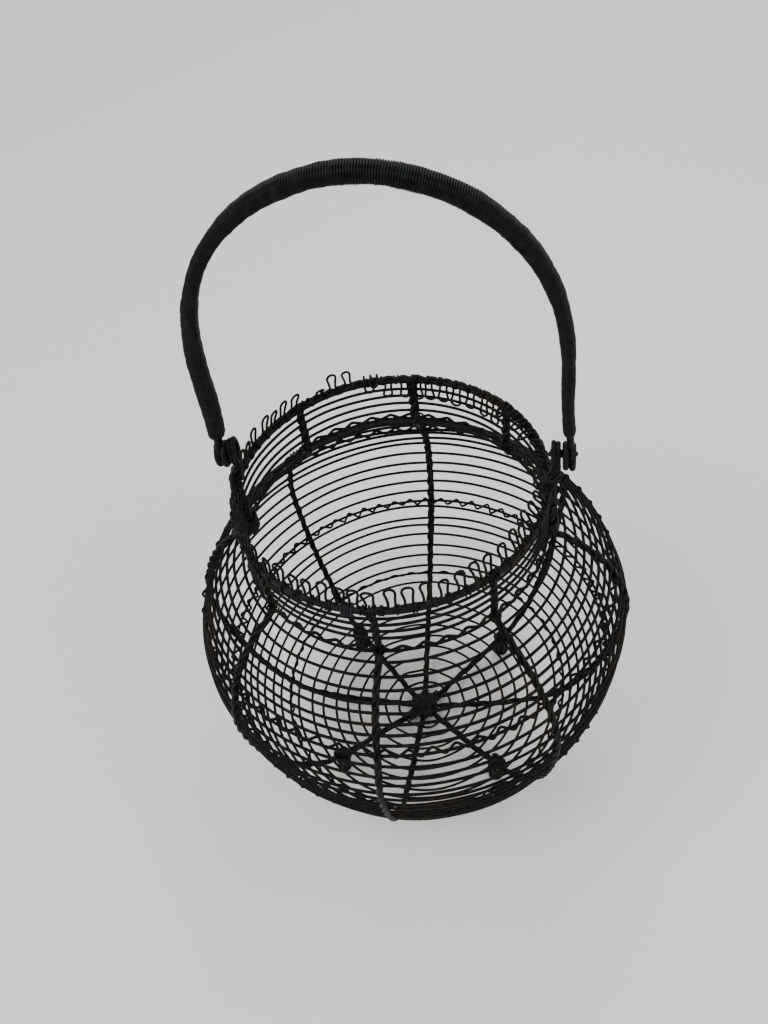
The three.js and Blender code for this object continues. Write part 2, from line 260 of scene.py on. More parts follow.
# ---------------------------------------------------------------- materials
def paint(name, *, dark, worn, rust, rust_share, rough, spec):
    """Old black paint on iron wire: uneven blacks, rubbed patches, rust coming through, and a
    fine tooth."""
    m = bpy.data.materials.new(name)
    m.use_nodes = True
    nt = m.node_tree
    link = nt.links.new
    nt.nodes.clear()

    def add(kind):
        return nt.nodes.new("ShaderNode" + kind)

    out = add("OutputMaterial")
    shader = add("BsdfPrincipled")
    link(shader.outputs[0], out.inputs[0])
    coords = add("TexCoord")
    mapping = add("Mapping")
    mapping.inputs["Scale"].default_value = (1, 1, 1)
    link(coords.outputs["Object"], mapping.inputs[0])

    def noise(scale, detail, roughness=0.55):
        n = add("TexNoise")
        n.inputs["Scale"].default_value = scale
        n.inputs["Detail"].default_value = detail
        n.inputs["Roughness"].default_value = roughness
        link(mapping.outputs[0], n.inputs["Vector"])
        return n.outputs[0]

    def remap(source, low, high, to_low=0.0, to_high=1.0):
        r = add("MapRange")
        r.inputs["From Min"].default_value = low
        r.inputs["From Max"].default_value = high
        r.inputs["To Min"].default_value = to_low
        r.inputs["To Max"].default_value = to_high
        link(source, r.inputs["Value"])
        return r.outputs[0]

    def mix(factor, a, b):
        x = add("Mix")
        x.data_type = "RGBA"
        link(factor, x.inputs[0])
        for i, value in ((6, a), (7, b)):
            if isinstance(value, tuple):
                x.inputs[i].default_value = (*value, 1)
            else:
                link(value, x.inputs[i])
        return x.outputs[2]

    broad = noise(scale=22, detail=3)
    mid = noise(scale=160, detail=4)
    tooth = noise(scale=1400, detail=3, roughness=0.6)
    color = mix(remap(mid, low=0.47, high=0.66), dark, worn)
    # rust shows where broad areas and small spots overlap
    areas = remap(broad, low=0.66 - 0.35 * rust_share, high=0.78 - 0.2 * rust_share)
    spots = remap(noise(scale=420, detail=4), low=0.42, high=0.62)
    overlap = add("Math")
    overlap.operation = "MULTIPLY"
    link(areas, overlap.inputs[0])
    link(spots, overlap.inputs[1])
    link(mix(overlap.outputs[0], color, rust), shader.inputs["Base Color"])
    link(remap(mid, low=0.3, high=0.7, to_low=rough - 0.1, to_high=rough + 0.14),
         shader.inputs["Roughness"])
    shader.inputs["Metallic"].default_value = 0.0
    shader.inputs["Specular IOR Level"].default_value = spec
    bump = add("Bump")
    bump.inputs["Strength"].default_value = 0.25
    bump.inputs["Distance"].default_value = 0.00025
    link(tooth, bump.inputs["Height"])
    link(bump.outputs[0], shader.inputs["Normal"])
    return m


THIN = paint("thin_black_wire", dark=(0.0012, 0.0013, 0.0010), worn=(0.0085, 0.0084, 0.0066),
             rust=(0.022, 0.0125, 0.0075), rust_share=0.42, rough=0.58, spec=0.1)
BROWN = paint("brown_black_wire", dark=(0.0022, 0.0017, 0.0012), worn=(0.0125, 0.0098, 0.0070),
              rust=(0.032, 0.0180, 0.0105), rust_share=0.8, rough=0.64, spec=0.1)
HEAVY = paint("heavy_black_wire", dark=(0.0014, 0.0017, 0.0012), worn=(0.0115, 0.0130, 0.0095),
              rust=(0.018, 0.0115, 0.0075), rust_share=0.25, rough=0.5, spec=0.12)
HUB = paint("hub_black_wire", dark=(0.0075, 0.0075, 0.0105), worn=(0.0200, 0.0200, 0.0275),
            rust=(0.018, 0.014, 0.013), rust_share=0.2, rough=0.55, spec=0.15)
GRIP = paint("grip_winding_black", dark=(0.0008, 0.0013, 0.0012), worn=(0.0066, 0.0088, 0.0080),
             rust=(0.009, 0.0078, 0.0066), rust_share=0.12, rough=0.42, spec=0.13)


def build(name, parts, node=None, material=HEAVY, body="basket",
          lean=lean_cage):
    """One object from a list of skins, standing for a CAD node if one is given."""
    vertices, faces, base = [], [], 0
    for v, quads, caps in parts:
        vertices.append(v)
        faces += (quads + base).tolist()
        faces += [[q + base for q in cap] for cap in caps]
        base += len(v)
    co = np.concatenate(vertices)
    dx, dy = lean(co[:, 2])
    co[:, 0] += dx
    co[:, 1] += dy
    co *= MM
    co[:, 2] += DROP * MM
    me = bpy.data.meshes.new(name)
    me.from_pydata(co.tolist(), [], faces)
    me.update()
    me.polygons.foreach_set("use_smooth", np.ones(len(me.polygons), bool))
    me.materials.append(material)
    o = bpy.data.objects.new(name, me)
    bpy.context.scene.collection.objects.link(o)
    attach(o, body)
    if node:
        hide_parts(node)


# ---------------------------------------------------------------- hoops
CURVE = catmull(PROFILE, 30)     # height, radius


def radius_at(z):
    return np.interp(z, CURVE[:, 0], CURVE[:, 1])


def bottom_height(r):
    """Height of the profile at a radius, in the part below the belly."""
    low = CURVE[CURVE[:, 0] < 60]
    return float(np.interp(r, low[:, 1], low[:, 0]))


def climb(z, a):
    """Rise of a hoop of height z at azimuths a (radians): none in front, all of it at the back."""
    from_front = np.abs((np.degrees(a) + 180) % 360 - 180)
    return lookup(CLIMB, z) * ease((from_front - 70) / 70)


def hoop_points(z, n, seed, wander_r, wander_z):
    a = full_circle(n)
    level = z + (climb(z, a) if z > LEVEL_BELOW else 0 * a)
    r = radius_at(level) + smooth_noise(n, (2, 3, 5, 8), wander_r, seed)
    return polar(r, level + smooth_noise(n, (3, 4, 7, 8, 11), wander_z, seed + 1), a)


def hoop(name, points, node, material=THIN):
    build(name, [tube(points, HOOP_WIRE, 8, True)], node, material)


def build_hoops():
    for i, r in enumerate(BOTTOM):
        node = f"bottom_hoop_{i + 1:02d}"
        n = max(72, int(r * 2.2) // 8 * 8)
        hoop(node + "_wire", hoop_points(bottom_height(r), n, 100 + i, 0.7, 0.35), node,
             BROWN)
    for i, z in enumerate(WALL):
        node = f"wall_hoop_{i + 1 - (i > EXTRA):02d}" if i != EXTRA else None
        wander = (0.45, 0.5) if z < 195 else (0.28, 0.3)
        hoop((node or "wall_hoop_shoulder_extra") + "_wire",
             hoop_points(z, 240, 200 + 7 * i, *wander), node, BROWN if z < BROWN_BELOW else THIN)
    hoop("neck_hoop_wire", hoop_points(NECK_Z, 240, 12, 0.3, 0.35), "neck_ring")


def crimped_ring(node, *, z, waves, amp, shift, wire, seed, lift):
    """Hoop bent into radial waves; shift and lift place it against the profile."""
    n = waves * 14
    a = full_circle(n)
    ph = waves * a
    # between a sine and a zigzag
    wave = -(np.cos(ph) + 0.06 * np.cos(3 * ph)) / 1.06
    wave_no = (np.floor(ph / TAU + 0.5) % waves).astype(int)
    g = np.random.default_rng(seed)
    size = running_mean((1 + 0.12 * g.normal(size=waves))[wave_no], 11, "wrap")
    if z == NECK_Z:
        # shallower in front than behind
        size = size * (0.72 + 0.14 * (1 - np.cos(a)))
    level = z + climb(z, a)
    r = radius_at(level) + shift + amp * wave * size
    height = level + lift + smooth_noise(n, (2, 5, 9), 0.2, seed) + 0.3 * np.sin(ph + 0.8)
    build(node + "_wire", [tube(polar(r, height, a), wire, 8, True)], node, THIN)


def build_crimped_rings():
    crimped_ring("crimped_ring_low", z=42, waves=48, amp=1.4, shift=-0.9, wire=0.9, seed=31,
                 lift=1.9)
    crimped_ring("crimped_ring_belly", z=106, waves=68, amp=3.3, shift=-1.4, wire=0.98, seed=32,
                 lift=0.9)
    crimped_ring("crimped_ring_shoulder", z=189, waves=60, amp=2.5, shift=-0.6, wire=1.0, seed=33,
                 lift=1.2)
    crimped_ring("crimped_ring_neck", z=NECK_Z, waves=45, amp=1.8, shift=-0.2, wire=1.15, seed=34,
                 lift=2.5)


def build_rim():
    """The rim wire with a thinner one above it, bound in short groups of turns."""
    count = 256
    rim = hoop_points(RIM_Z, count, 11, 0.35, 0.3)
    parts = [tube(rim, 2.25, 12, True)]
    n = RIM_LOOPS * 12
    a = full_circle(n)
    ph = RIM_LOOPS * a
    over_r = RIM_R + 0.7 + 0.45 * np.cos(ph) + smooth_noise(n, (3, 5), 0.2, 14)
    over_z = RIM_Z + 2.4 + 0.45 * np.sin(ph + 0.6) + smooth_noise(n, (2, 7, 9), 0.25, 15)
    parts.append(tube(polar(over_r, over_z, a), 1.6, 8, True))
    _, u, w = frames(rim, True)
    rim, u, w = (np.concatenate([rows, rows[:1]]) for rows in (rim, u, w))
    g = np.random.default_rng(17)
    for k in range(RIM_LOOPS):
        middle = (k + 0.5 + g.uniform(-0.12, 0.12)) * count / RIM_LOOPS
        half = g.uniform(0.45, 0.8)
        s = np.linspace(middle - half, middle + half, 9) % count
        r = 2.75 + g.uniform(-0.08, 0.12)
        turns = g.integers(1, 3) + 0.4
        c = coil(sample(rim, s) + UP * 1.05, unit(sample(u, s)), unit(sample(w, s)), r, r, turns,
                 16, g.uniform(0, 6))
        parts.append(tube(c, 0.85, 7))
    build("rim_ring_wound", parts, "rim_ring")


# ---------------------------------------------------------------- ribs
RIB, ARC = resample(CURVE[:, ::-1], 0.9)       # radius, height; arc length from the hub
RIB_R, RIB_Z = RIB.T
RIB_TANGENT = unit(np.gradient(RIB, axis=0))
NORMAL_R, NORMAL_Z = RIB_TANGENT[:, 1], -RIB_TANGENT[:, 0]     # outward
LOW = slice(0, 200)                            # the part where the radius still grows
RIB_OUT = 0.5                                  # ribs lie this far outside the profile


def arc_at(z):
    return float(np.interp(z, RIB_Z, ARC))


def rib_height(r):
    return np.interp(r, RIB_R[LOW], RIB_Z[LOW])


def crossing_lift(rib_no, distance):
    """Ribs are stacked one on another where they cross at the hub."""
    return (rib_no * 2.6 - 1.2) * np.clip((13 - distance) / 8, 0, 1) ** 1.5


# the twist makes an equal share of a turn from one hoop crossing to the next
CROSSINGS = sorted([float(np.interp(r, RIB_R[LOW], ARC[LOW])) for r in BOTTOM]
                   + [arc_at(z) for z in WALL])
TWIST = np.interp(ARC, [0.0] + CROSSINGS + [ARC[-1] + 3],
                  [-0.5 * math.pi] + [math.pi * i for i in range(len(CROSSINGS) + 1)])
TO_CROSSING = np.min(np.abs(ARC[:, None] - np.array(CROSSINGS)[None, :]), axis=1)
# thinner near the hub, stouter above the neck; strands open out round each hoop
STRAND_R = 1.27 - 0.05 * ease((24 - ARC) / 10) + 0.36 * ease((RIB_Z - 231) / 8)
SPREAD = STRAND_R * 1.06 + 0.3 * np.exp(-(TO_CROSSING / 2.2) ** 2)
# by the hub the strands lie side by side
HUB_FLAT = np.clip((15 - ARC) / 8, 0, 1)

# Sideways drift of each half rib, by azimuth: arc length from the hub, drift towards growing
# azimuth
DRIFT = {
    0: [(0, 0), (15, -0.8), (96, -6.8), (arc_at(60), -8.4), (arc_at(155), -7.4),
        (arc_at(190), -4.6), (arc_at(213), -2.6), (arc_at(236), 0), (500, 0)],
    45: [(0, 0), (15, 0), (86, 2.6), (arc_at(60), 0), (arc_at(140), -4.4), (arc_at(195), -4.6),
         (arc_at(236), -3.3), (500, -3.3)],
    180: [(0, 0), (25, 0.9), (80, 3.4), (arc_at(35), 5.3), (arc_at(55), 4.9), (arc_at(68), 4.1),
          (arc_at(75), 3.7), (arc_at(88), 2.7), (arc_at(96), 2.3), (arc_at(114), 1.2),
          (arc_at(130), 0.6), (arc_at(160), 0.6), (arc_at(178), 0.9), (arc_at(195), 0.5),
          (arc_at(225), -3.4), (arc_at(240), -4.9), (arc_at(258), -4.8), (500, -5.4)],
    315: [(0, 0), (15, -0.4), (84, -3.5), (arc_at(60), -3.2), (arc_at(200), -3.0),
          (arc_at(236), -2.0), (500, -2.0)],
}
NO_DRIFT = [(0, 0), (500, 0)]


def half_strand(rib_no, strand, side, azimuth, wander):
    """Points and wire radii of one strand from the hub to the rim."""
    outward, sideways = directions(azimuth)
    turn = TWIST * 0.55 + strand * TAU / 3 + rib_no
    seed = 950 + rib_no * 7 + strand * 3 + side
    reach = SPREAD * (1 + smooth_noise(len(ARC), (11, 17, 29), 0.05, seed, False))
    off = reach * np.cos(turn) * (1 - HUB_FLAT) + HUB_FLAT * (0.7 if strand == 1 else -0.3)
    across = ((reach * np.sin(turn) + wander) * (1 - HUB_FLAT)
              + HUB_FLAT * 1.75 * (strand - 1) * (1 - 2 * side))

    scale = 1.0
    if abs((azimuth + 180) % 360 - 180) < 100:
        # all but the rear ribs are slimmer above the neck
        scale = 1 - 0.2 * ease((RIB_Z - 231) / 8)
    elif azimuth == 180:
        # the back rib is a little stouter than the others above the waist
        scale = 1 + 0.17 * ease((RIB_Z - 50) / 30)
    off, across = RIB_OUT + off * scale, across * scale

    r = RIB_R + NORMAL_R * off
    z = RIB_Z + NORMAL_Z * off + crossing_lift(rib_no, ARC)
    # turn each point about the axis by the drift
    drift = running_mean(lookup(DRIFT.get(azimuth, NO_DRIFT), ARC), 25) * ease(ARC / 12)
    angle = np.clip(drift / np.maximum(r, 14), -0.3, 0.3)
    c, s = np.cos(angle), np.sin(angle)
    points = (np.outer(r * c - across * s, outward) + np.outer(r * s + across * c, sideways)
              + np.outer(z, UP))
    return points, STRAND_R * scale


def build_ribs():
    """Four ribs of three strands, each running from rim to rim through the hub."""
    for rib_no, place in enumerate(("front_back", "right_diagonal", "side_to_side",
                                    "left_diagonal")):
        wander = smooth_noise(len(ARC), (1, 2, 3), 0.5, 900 + rib_no, False)
        strands = []
        for strand in range(3):
            (near, near_r), (far, far_r) = (
                half_strand(rib_no, strand, side, 45 * rib_no + 180 * side, wander)
                for side in (0, 1))
            strands.append(tube(np.concatenate([near[::-1], far[1:]]),
                                np.concatenate([near_r[::-1], far_r[1:]]), 9))
        build(f"rib_{place}_twisted", strands, f"rib_wire_{place}")


# ---------------------------------------------------------------- lashings
# Where ribs reach the rim off their even place: azimuth, offset in degrees
LASHING_SHIFT = {45: -1.8, 180: -3.7, 315: -1.1}


def ring_lashing(r, z, azimuth, half_length, coil_r, wire, turns):
    """Turns of wire round a stretch of ring."""
    a = math.radians(azimuth)
    p = polar(r, z, np.linspace(a - half_length / r, a + half_length / r, 16))
    _, u, w = frames(p)
    return tube(coil(p, u, w, coil_r, coil_r, turns, 14, 0.6), wire, 6)


def build_lashings():
    # short bluish binding on the rim, left of the front rib
    build("rim_joint_binding",
          [ring_lashing(r=105.2, z=278.9, azimuth=352.2, half_length=3.2, coil_r=3.75, wire=1.0,
                        turns=3.3)], material=HUB)
    for azimuth in range(0, 360, 45):
        g = np.random.default_rng(500 + azimuth)
        at = azimuth + LASHING_SHIFT.get(azimuth, 0.0)
        build(f"rim_lashing_{azimuth:03d}",
              [ring_lashing(r=105.3, z=278.6, azimuth=at + g.uniform(-0.5, 0.5),
                            half_length=2.2 + g.uniform(0, 0.8), coil_r=3.4, wire=0.75,
                            turns=2.95)])
        outward, sideways = directions(at)
        q = np.linspace(-2.4, 3.4, 12)
        neck_z = NECK_Z + 0.6 + climb(NECK_Z, math.radians(at))
        p = np.outer(105.0 + 0.2 * q, outward) + np.outer(neck_z + q, UP)
        turns = 1.3 + g.uniform(0, 0.5)
        c = coil(p, sideways, outward, 3.6, 3.7, turns, 16, g.uniform(0, 6))
        build(f"neck_lashing_{azimuth:03d}", [tube(c, 0.75, 7)])


# How far the hub binding runs out along each half rib: azimuth, radius
HUB_REACH = {0: 11, 45: 11, 90: 10, 135: 17, 180: 13, 225: 12, 270: 10, 315: 18}


def build_hub():
    parts = []
    # squarish loops over the crossing, three to each gap between ribs
    q = full_circle(40)
    for k in range(4):
        along, across = directions(22.5 + 45 * k)
        for j, offset in enumerate((-2.3, -0.2, 2.1)):
            g = np.random.default_rng(70 + 5 * k + j)
            x = signed_power(np.cos(q), 0.7) * (8.6 + g.uniform(-1.2, 1.4))
            z = signed_power(np.sin(q), 0.6) * (5.0 + 0.5 * j + 0.7 * k) + 3.2 + 0.4 * k
            y = offset + g.uniform(-0.4, 0.4) + 0.5 * np.sin(q * 2 + k)
            p = np.outer(x, along) + np.outer(z, UP) + np.outer(y, across)
            parts.append(tube(p, 1.1, 7, True))
    # a rising spiral round the crossing
    q = np.linspace(0, TAU * 3, 90)
    p = np.stack([6.6 * np.cos(q), 6.6 * np.sin(q), 1.0 + 6.6 * q / q[-1]], -1)
    parts.append(tube(p, 1.1, 7))
    # coils a little way out along the ribs
    start = 4.5
    for azimuth, reach in HUB_REACH.items():
        outward, sideways = directions(azimuth)
        r = np.linspace(start, reach, 16)
        z = rib_height(r) + crossing_lift(azimuth % 180 / 45, r) - 0.3
        p = np.outer(r, outward) + np.outer(z, UP)
        c = coil(p, sideways, UP, np.linspace(4.3, 3.5, 16), np.linspace(3.6, 3.2, 16),
                 (reach - start) / 2.3, 16, phase=azimuth)
        parts.append(tube(c, 0.98, 7))
    build("hub_binding_wires", parts, "hub_binding", HUB)


# ---------------------------------------------------------------- rim edging
# Outline of one hairpin loop: sideways in pitches, height as a share of the loop
HAIRPIN = [
    [-0.5, 0.0], [-0.31, -0.02], [-0.19, 0.05], [-0.17, 0.28], [-0.20, 0.55], [-0.25, 0.80],
    [-0.19, 0.97], [0, 1.04], [0.19, 0.97], [0.25, 0.80], [0.20, 0.55], [0.17, 0.28],
    [0.19, 0.05], [0.31, -0.02]]
LOOP_PITCH = TAU * RIM_R / RIM_LOOPS

# How the loops stand: azimuth, bend inward over the rim (degrees), its scatter, sideways lean
# (mm), width factor, height (mm), 1 where the loop hangs inside the rim
LOOP_HABIT = np.array([
    (0, 4, 4, 0.0, 1.22, 14.6, 0), (24, 4, 4, -0.4, 1.2, 15.2, 0),
    (40, 10, 4, -1.0, 1.15, 17.0, 0), (70, 14, 6, -1.6, 1.1, 17.0, 0),
    (80, 40, 8, -1.0, 1.0, 14.5, 0), (96, 70, 10, 0.0, 0.9, 9.0, 0),
    (111, 85, 6, 0.4, 0.9, 10.0, 0), (115, 122, 6, 0.4, 1.0, 17.5, 0),
    (136, 128, 6, 0.4, 1.05, 18.5, 0), (137, 0, 0, 0.4, 1.25, 14.5, 1),
    (150, 0, 0, 0.6, 1.3, 14.5, 1), (172, 0, 0, -0.6, 1.25, 13.0, 1),
    (190, 0, 0, 0.0, 1.2, 11.5, 1), (193, 150, 2, 0.0, 1.2, 20.0, 0),
    (199, 150, 2, 0.0, 1.25, 20.0, 0), (203, -4, 1, 0.2, 1.12, 12.3, 0),
    (211, -4, 1, -0.2, 1.12, 12.3, 0), (213, 35, 3, 0.0, 1.1, 9.6, 0),
    (219, 40, 3, -1.0, 1.0, 9.6, 0), (222, 85, 3, 0.0, 1.0, 9.5, 0),
    (225, 4, 3, -3.4, 1.1, 12.0, 0), (262, 4, 4, -4.2, 1.1, 12.8, 0),
    (274, 8, 8, -2.4, 1.1, 12.8, 0), (300, 6, 5, -0.6, 1.2, 13.6, 0),
    (360, 4, 4, 0.0, 1.22, 14.6, 0)])

# Loops a little to one side of their even place: loop, degrees
NUDGE = {
    1: 1.3, 2: 1.0, 3: 1.2, 4: 1.0, 5: 1.4, 6: 1.8, 8: 1.2, 9: 2.0, 25: 0.8, 26: 1.4, 27: 1.4,
    28: 1.8, 29: 0.6, 31: 0.6, 33: -3.2, 34: -1.2, 35: -0.8, 36: -0.6, 38: -0.7, 39: -0.7,
    40: -1.2, 41: -2.2, 42: -0.8, 43: 0.4, 53: 2.0, 54: 2.4, 55: 2.6, 56: 1.8, 57: 1.4, 58: 1.8,
    59: 0.4}
# Loops that lean in, clear of the swinging handle: loop, mm
LEAN_IN = {43: 1.7, 44: 3.2}


def bent_over(length, straight, bend, bend_r):
    """Height and inward reach of a point this far along a wire that is bent above straight."""
    if length <= straight:
        return length, 0.0
    past = length - straight
    sign = math.copysign(1, bend)
    turn = min(abs(bend), past / bend_r) * sign
    rest = past - min(past, abs(bend) * bend_r)
    up = straight + bend_r * math.sin(abs(turn)) + rest * math.cos(turn)
    inward = bend_r * (1 - math.cos(turn)) * sign + rest * math.sin(turn)
    return up, inward


def edging_loop(k, g):
    """Points of loop number k; g gives its scatter."""
    azimuth = k * 360 / RIM_LOOPS
    behind_bracket = k % 30 == 15            # the wire lies flat here
    bend_mean, scatter, lean, width, height, hang = (
        float(lookup(LOOP_HABIT, azimuth, column)) for column in range(1, 7))
    height = 0.0 if behind_bracket else height * g.uniform(0.94, 1.06)
    lean += g.normal() * (0.5 if 190 < azimuth < 266 else 0.8)
    bend = math.radians(bend_mean + g.normal() * scatter)
    bend_r = 3.1 if bend_mean > 85 else 2.6
    tilt_in = math.radians(g.uniform(4, 16))
    width *= g.uniform(0.9, 1.12)
    if behind_bracket:
        lean, width = 0.0, 1.0

    points = []
    for across, share in HAIRPIN:
        tangential = (across * (width if abs(across) < 0.45 else 1.0) * LOOP_PITCH
                      + lean * max(0.0, share) ** 1.3)
        length = share * height
        if hang > 0.5:
            r = 101.6 - max(0, length) * math.sin(tilt_in)
            z = 279.6 - length * math.cos(tilt_in)
        else:
            up, inward = bent_over(length, 0.16 * height, bend, bend_r)
            inward += LEAN_IN.get(k, 0.0) * min(1.0, max(0.0, length) / 6.0)
            r, z = 104.7 - inward, 281.4 + up
        a = math.radians(azimuth + NUDGE.get(k, 0.0)) + tangential / RIM_R
        points.append(polar(r, z, a))
    return points


def build_edging():
    """One wire bent into hairpin loops all round the rim."""
    g = np.random.default_rng(8)
    pts = np.array([p for k in range(RIM_LOOPS) for p in edging_loop(k, g)])
    fine = []
    for i in range(len(pts)):
        p0, p1, p2, p3 = (pts[(i + step) % len(pts)] for step in (-1, 0, 1, 2))
        for s in (0, 1 / 3, 2 / 3):
            fine.append(0.5 * (2 * p1 + (p2 - p0) * s + (2 * p0 - 5 * p1 + 4 * p2 - p3) * s * s
                               + (3 * p1 - p0 - 3 * p2 + p3) * s ** 3))
    build("rim_edging_wire", [tube(np.array(fine), 0.92, 7, True)], "rim_edging", THIN)


# ---------------------------------------------------------------- feet
# node, azimuth, distance from the axis, sideways offset
FEET = [("foot_front_right", 45, 86.5, 2.6), ("foot_back_right", 135, 89.0, 0.0),
        ("foot_back_left", 225, 89.0, 0.0), ("foot_front_left", 315, 85.0, -3.4)]
TOE_Z = -DROP + 1.45


def build_foot(node, azimuth, distance, offset):
    """A skein of upright wire, drawn together at the toe and wound over the rib."""
    outward, sideways = directions(azimuth)
    top = float(rib_height(distance))
    base = outward * distance + sideways * offset
    parts = []
    g = np.random.default_rng(40 + azimuth)
    z = np.linspace(TOE_Z, top + 0.5, 16)
    for q in range(9):
        turn = q * TAU / 9 + g.uniform(-0.1, 0.1) + 0.012 * z
        sway = np.interp(z, [TOE_Z, TOE_Z + 3, TOE_Z + 9, top], [3.2, 3.9, 4.5, 4.6])
        sway = sway + g.uniform(-0.15, 0.15)
        p = (base + np.outer(sway * np.cos(turn), outward)
             + np.outer(sway * np.sin(turn), sideways) + np.outer(z, UP))
        parts.append(tube(p, 1.42, 9))
    parts.append(tube(base + np.outer(np.linspace(TOE_Z + 0.4, top, 10), UP), 3.3, 12))
    # bindings by the toe and below the rib: from, to, radius, turns
    for z0, z1, r, turns in ((TOE_Z + 2.6, TOE_Z + 4.6, 5.2, 1.4),
                             (top - 6.0, top - 3.2, 6.0, 1.7)):
        line = base + np.outer(np.linspace(z0, z1, 12), UP)
        _, u, w = frames(line)
        parts.append(tube(coil(line, u, w, r, r, turns, 18, g.uniform(0, 6)), 0.95, 7))
    # turns over the rib, across it
    slope = math.atan2(rib_height(94) - rib_height(84), 94 - 84)
    along = outward * math.cos(slope) + UP * math.sin(slope)
    above = -outward * math.sin(slope) + UP * math.cos(slope)
    p = base + UP * (top + 0.3) + np.outer(np.linspace(-5.4, 5.4, 20), along)
    parts.append(tube(coil(p, above, sideways, 3.9, 4.9, 5, 16, 0.4), 1.15, 8))
    build(node + "_wound", parts, node)


# ---------------------------------------------------------------- brackets and pins
SIDES = (("right", 1), ("left", -1))
# Tall loops over each bracket: x from the stem loop's middle, centre above the pivot, half height
BRACKET_LOOPS = {"right": ((-1.4, 0.6, 8.7), (1.4, 0.1, 8.2)),
                 "left": ((-1.4, 4.4, 9.9), (1.4, 3.6, 9.2))}
STEM_TOP = {"right": 298, "left": 301}


def to_side(points, sign):
    """Points drawn on the right, turned half round the axis for the left."""
    return points * np.array([sign, sign, 1])


def ear_loop(x, travel, centre, half_z, half_y, start):
    """One turn of wire round the pivot axis, travelling a little along x."""
    q = np.linspace(start, start + TAU, 30)
    return np.stack([np.linspace(x, x + travel, 30), half_y * np.sin(q),
                     PIVOT_Z + centre + half_z * np.cos(q)], -1)


def build_bracket(side, sign):
    """Twisted wires that rise outside the collar and end in a tall double loop."""
    parts = []
    g = np.random.default_rng(600 + sign)
    stem = catmull([[104.4, 0, 230], [105.0, 0, 238], [105.4, 0, 250], [105.9, 0, 264],
                    [106.4, 0, 277], [106.2, 0, 288], [105.1, 0, STEM_TOP[side]]], 14)
    stem, s = resample(stem, 1.2)
    _, u, w = frames(stem)
    full = s[-1]
    girth = (2.75 + 0.35 * np.sin(s / full * math.pi * 3 + 0.6)
             - 0.75 * ease((s - full + 12) / 12))
    parts.append(tube(to_side(stem, sign), 2.4, 10))
    # six wires laid round the core
    for k in range(6):
        turn = TAU * s / 52.0 + k * math.pi / 3 + g.uniform(-0.18, 0.18)
        loose = 1 + 0.10 * np.sin(s / 9 + k * 2)
        p = (stem + u * (girth * loose * np.cos(turn))[:, None]
             + w * ((girth + 0.5) * loose * np.sin(turn))[:, None])
        parts.append(tube(to_side(p, sign), 1.5, 9))
    # one more wire runs loose down the outside
    p = stem + np.stack([4.0 + 0.6 * np.sin(s / 11), 1.6 * np.sin(s / 16), 0 * s], -1)
    parts.append(tube(to_side(p[4:-6], sign), 1.0, 8))
    for dx, centre, half_z in BRACKET_LOOPS[side]:
        loop = ear_loop(105.0 + dx, 0.3, centre, half_z, 4.4, math.pi)
        parts.append(tube(to_side(loop, sign), 1.75, 10))
    if side == "right":
        # a cut wire end stands out beside the bracket
        parts.append(tube(catmull([[109.0, 0, 264], [111.0, 0, 271], [113.2, 0, 279],
                                   [114.9, 0, 287.5]], 6), 0.8, 7))
    # bindings, the lowest one a lump at the foot: from, to, radius, turns, wire
    for z0, z1, r, turns, wire in ((283.5, 288.5, 4.9, 2.6, 0.9), (233.0, 244.5, 6.2, 5.2, 1.35),
                                   (258.0, 262.0, 4.9, 1.7, 0.95)):
        on = (stem[:, 2] >= z0) & (stem[:, 2] <= z1)
        c = coil(stem[on], u[on], w[on], r - 0.6, r, turns, 14, g.uniform(0, 6))
        parts.append(tube(to_side(c, sign), wire, 7))
    build(f"bracket_{side}_wires", parts, f"bracket_{side}", lean=lean_ears)


def build_pin(side, sign):
    """Cross pin: a wound wire stub through the loops."""
    x = np.linspace(102.0, 117.4, 14)
    line = np.stack([x, 0 * x, np.full(14, float(PIVOT_Z))], -1)
    core_r = np.interp(x, [102.0, 103.0, 116.4, 117.4], [1.9, 2.3, 2.3, 1.9])
    wound_r = np.interp(x, [102.0, 103.2, 108, 111, 116.4, 117.4], [2.7, 2.5, 2.3, 2.3, 2.5, 2.7])
    c = coil(line, BACK, UP, wound_r, wound_r, 9.4, 16)
    build(f"pivot_pin_{side}_finished",
          [tube(to_side(line, sign), core_r, 14), tube(to_side(c, sign), 0.75, 7)],
          f"pivot_pin_{side}", lean=lean_ears)


# ---------------------------------------------------------------- handle
# Half of the handle's arch: height above the pivot, distance from the middle
HALF_ARCH = [
    [7.5, 114.5], [25, 112.8], [45, 112], [65, 112.1], [82, 111.8], [99, 110.3], [119, 106.5],
    [135, 101], [151, 93], [165, 82.7], [176, 72], [186, 59.3], [193.5, 45.8], [199, 31.5],
    [203, 16.5], [204.3, 0]]
ARCH, ARCH_S = resample(catmull([[-x, 0, PIVOT_Z + h] for h, x in HALF_ARCH[:-1]]
                                + [[x, 0, PIVOT_Z + h] for h, x in HALF_ARCH[::-1]], 20), 1.0)
FROM_END = np.minimum(ARCH_S, ARCH_S[-1] - ARCH_S)

# Loops at each end of the handle: x, centre above the pivot, half height, half depth
HANDLE_LOOPS = {"right": ((111.0, -1.6, 8.2, 6.6), (115.2, -2.2, 8.4, 6.4)),
                "left": ((111.0, 1.4, 7.8, 6.6), (115.2, 1.8, 7.8, 6.4))}


